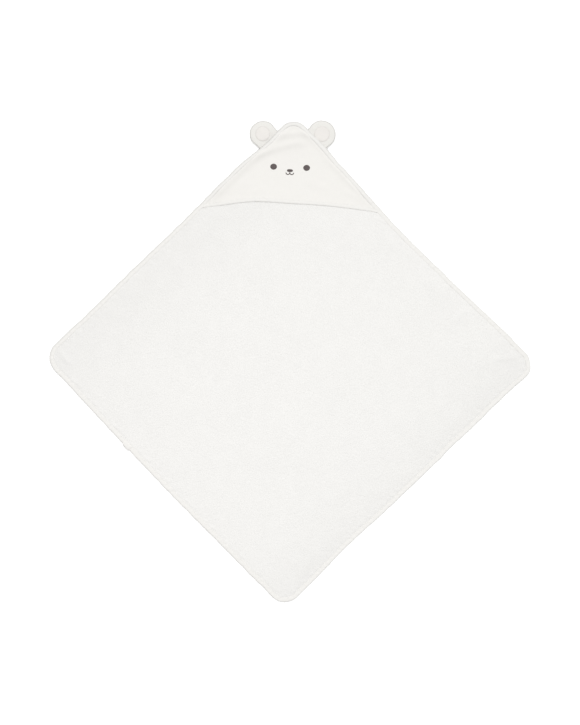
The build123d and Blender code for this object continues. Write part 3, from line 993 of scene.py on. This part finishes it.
def ear_outline():
    """An ear's outline in its own plane: a round top on straight sides, from one base corner to the other."""
    turn = np.linspace(-0.07 * pi, 1.07 * pi, 72)
    arc = np.column_stack([np.cos(turn), np.sin(turn)]) * EAR_RADIUS + (0, EAR_STAND_OFF)
    base_left, base_right = (-EAR_HALF_BASE, -EAR_TUCK), (EAR_HALF_BASE, -EAR_TUCK)
    right, left = np.linspace(base_right, arc[0], 8)[:-1], np.linspace(arc[-1], base_left, 8)[1:-1]
    return np.vstack([right, arc, left, np.linspace(base_left, base_right, 14)[:-1]])


def ear_pad(q, fullness=1.0):
    """Half of the ear's thickness, which thins to a seam at its base."""
    return EAR_PAD * fullness * (0.35 + 0.65 * ramp(q, -5 * MM, 11 * MM))


def ear_level(p, q, seed):
    """Height of the ear's middle layer, which is gathered into small ripples at its base."""
    gather = (GATHER + GATHER_RIPPLE * np.cos(p / RIPPLE_LENGTH)) * bell(q, 1 * MM, 6 * MM)
    return EAR_LEVEL + EAR_WAVE * waves(p, q, EAR_WAVE_LENGTH, seed) + gather


def disc_faces(rings, around, side):
    """Quads between rings of points, from the outermost in, and the fan from the last ring to its centre."""
    index = np.arange(rings * around).reshape(rings, around)
    turned = np.roll(index, -1, axis=1)
    quads = np.stack([index[:-1], turned[:-1], turned[1:], index[1:]], axis=-1).reshape(-1, 4)
    fan = np.stack([index[-1], turned[-1], np.full(around, index.size)], axis=-1)
    return (quads, fan) if side == "right" else (quads[:, ::-1], fan[:, ::-1])


def disc(groups, high, low, shade):
    """A closed sheet between two layers of points that lie in rings."""
    normals = vertex_normals(high, groups), -vertex_normals(low, groups)
    return Surface().sheet(groups, (high, low), normals, shade)


def hang_ear(piece):
    """Leaves a piece of an ear where it lies."""
    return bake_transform(piece)


def make_ear(side, seed):
    """Back cloth, interlining and front cloth, which share one padded shape."""
    outline = ear_outline()
    around = len(outline)
    centre = np.array([0, EAR_STAND_OFF * 0.9])
    wobble = 1 + 0.012 * waves(np.arange(around) / around * 4, 0, 1.0, seed)
    # Painted shade darkens each layer towards its rim.
    fullness, painted_rim_shade = [
        np.append(np.repeat(values, around), last)
        for values, last in ((np.sqrt(1 - EAR_RINGS**5), 1.0), (ramp(EAR_RINGS, 0.90, 0.99), 0.0))
    ]
    groups = disc_faces(len(EAR_RINGS), around, side)
    for layer, low, high, reach, slot in EAR_LAYERS:
        flat = centre + (outline - centre) * (reach * EAR_RINGS[:, None, None] * wobble[None, :, None])
        p, q = np.vstack([flat.reshape(-1, 2), centre]).T
        level, pad = ear_level(p, q, seed), ear_pad(q, fullness)
        upper, lower = [lay_ear(side, p, q, level + pad * share + extra) for share, extra in (high, low)]
        hang_ear(disc(groups, upper, lower, painted_rim_shade).piece(f"{side}_{layer}", "cloth", slot))


def make_inner_ear(side, seed):
    """The smooth patch on an ear's front and its ring of stitching."""
    turn = 2 * pi * np.arange(PATCH_AROUND) / PATCH_AROUND
    spoke = np.column_stack([np.cos(turn), np.sin(turn)]) * PATCH_RADIUS
    flat = np.vstack([(PATCH_RINGS[:, None, None] * spoke).reshape(-1, 2), (0, 0)]) + (0, PATCH_MIDDLE)
    share = np.append(np.repeat(PATCH_RINGS, PATCH_AROUND), 0)
    p, q = flat[:, 0], np.maximum(flat[:, 1], -EAR_TUCK)
    top = ear_level(p, q, seed) + ear_pad(q)
    groove = 0.35 * MM * bell(share, PATCH_STITCH / PATCH_RADIUS, 0.035)
    rise = PATCH_PROUD * np.sqrt(1 - share**16) - groove + 0.25 * MM * (1 - share**2)
    upper, lower = lay_ear(side, p, q, top + rise), lay_ear(side, p, q, top - 0.1 * MM)
    # Painted shade in the groove round the patch.
    shade = PATCH_SHADE * bell(share, 0.94, 0.06)
    patch = disc(disc_faces(len(PATCH_RINGS), PATCH_AROUND, side), upper, lower, shade)
    hang_ear(patch.piece(f"{side}_inner_ear", "patch", "inner_ear_cloth"))

    turn = np.linspace(0, 2 * pi, 200)
    p, q = np.cos(turn) * PATCH_STITCH, np.sin(turn) * PATCH_STITCH + PATCH_MIDDLE
    heights = ear_level(p, q, seed) + ear_pad(q) + 0.62 * MM
    rows = stitch_rows(lay_ear(side, p, q, heights), heights, turn * PATCH_STITCH)
    ring = Surface().threads(rows, STITCH_RADII)
    hang_ear(ring.piece(f"{side}_inner_ear_thread", "stitches", "white_thread", look="inner_ear_cloth"))


# ---- Care label ----
LABEL_HALF = (17 * MM, 10 * MM)
LABEL_TOP, LABEL_BOTTOM = 0.5 * MM, 0.22 * MM


def make_label():
    """A blank satin label on the back of the left panel, with folded ends and slightly curled sides."""
    middle = box_of("care_label")[0][:2]
    inward, along = np.array([SLANT, SLANT]), np.array([SLANT, -SLANT])
    half_length, half_width = LABEL_HALF
    length, width = np.linspace(-half_length, half_length, 40), np.linspace(-half_width, half_width, 24)
    p, q = np.meshgrid(length, width, indexing="ij")
    x, y = np.moveaxis(middle + p[..., None] * inward + q[..., None] * along, -1, 0)
    curl = 0.12 * MM * (np.abs(q) / half_width) ** 4
    fold = 0.1 * MM * bell(np.abs(p), half_length, 1.5 * MM)
    layers = lay_layers(x, y, LABEL_TOP + 0 * p, LABEL_BOTTOM - curl - fold)
    index = np.arange(p.size).reshape(p.shape).T
    quads, normals = strip_quads(index[:, :-1], index[:, 1:]), [-n for n in both_normals(layers)]
    hang(Surface().sheet([quads], layers, normals).piece("care_label", "satin", "label_satin"), "left_wing")


# ---- Stage ----
CAMERA_LENS, SENSOR = 135.0, 36.0  # in millimetres
FRAME_HEIGHT = 1.574  # of the floor that the picture shows
PHOTO_ROLL = radians(1.05)
PICTURE_MIDDLE = (1.1 * MM, 0.4 * MM)  # on the floor
FLOOR_SIZE = 60.0

# Light on a level surface, as shares of pure white: from all round, then from each lamp.
# A lamp has a name, a kind, a place, a size (an angle for the sun), its share and its colour.
AMBIENT = 0.705
LIGHTS = (
    ("key", "SUN", (0.2, 3.0, 3.0), radians(40), 0.30, (1, 1, 1)),
    ("overhead_left", "AREA", (-0.22, -0.18, 1.9), 0.9, 0.18, (1, 0.95, 0.95)),
    ("overhead_right", "AREA", (0.24, 0.12, 1.9), 0.9, 0.125, (0.95, 1, 0.96)),
)


def make_floor():
    """A wide, pale, matt floor."""
    mesh = bpy.data.meshes.new("floor")
    corners = [(x * FLOOR_SIZE / 2, y * FLOOR_SIZE / 2, 0) for x, y in ((-1, -1), (1, -1), (1, 1), (-1, 1))]
    mesh.from_pydata(corners, [], [(0, 1, 2, 3)])
    paper = Nodes(bpy.data.materials.new("floor_paper"))
    matt = {"Base Color": (0.97, 0.97, 0.97, 1), "Roughness": 1.0, "Specular IOR Level": 0.0}
    paper.fill(paper.tree.nodes["Principled BSDF"], matt)
    mesh.materials.append(paper.owner)
    new_object("floor", mesh)


def make_world():
    """Even light from all round, which the camera sees as white."""
    world = Nodes(bpy.data.worlds.new("studio"))
    seen = world.new("ShaderNodeLightPath").outputs["Is Camera Ray"]
    strength = world.new("ShaderNodeMapRange", {"Value": seen, "To Min": AMBIENT, "To Max": 1.0}).outputs[0]
    world.fill(world.tree.nodes["Background"], {"Color": (1, 1, 1, 1), "Strength": strength})
    bpy.context.scene.world = world.owner


def make_lamps():
    """A soft sun from above the hood and two soft lamps overhead."""
    for name, kind, place, size, share, colour in LIGHTS:
        lamp = bpy.data.lights.new(name, kind)
        lamp.color = colour
        if kind == "SUN":
            lamp.angle, lamp.energy = size, share * pi / Vector(place).normalized().z
            towards = -Vector(place)
        else:
            lamp.shape, lamp.size, lamp.energy = "DISK", size, share * pi**2 * place[2] ** 2
            towards = Vector((0, 0, -1))
        light = new_object(name, lamp)
        light.location = place
        light.visible_camera = False
        light.rotation_euler = towards.to_track_quat("-Z", "Y").to_euler()


def make_camera():
    """The camera straight above the towel, as for the photo."""
    camera = new_object("camera", bpy.data.cameras.new("camera"))
    camera.data.lens, camera.data.sensor_width = CAMERA_LENS, SENSOR
    camera.data.clip_end = 100
    camera.location = (*PICTURE_MIDDLE, FRAME_HEIGHT * CAMERA_LENS / SENSOR)
    camera.rotation_euler = (0, 0, PHOTO_ROLL)
    bpy.context.scene.camera = camera
    view = bpy.context.scene.view_settings
    view.view_transform, view.look, view.exposure = "Standard", "None", 0.0


make_terry()
make_binding()
make_edge_stitches()
make_hood_cloth()
make_hem()
for make_feature in (make_eye, make_nose, make_mouth):
    for half in HALVES:
        make_feature(*half)
for ear, ear_seed in (("left", 61), ("right", 62)):
    make_ear(ear, ear_seed)
    make_inner_ear(ear, ear_seed)
make_label()
make_floor()
make_world()
make_lamps()
make_camera()
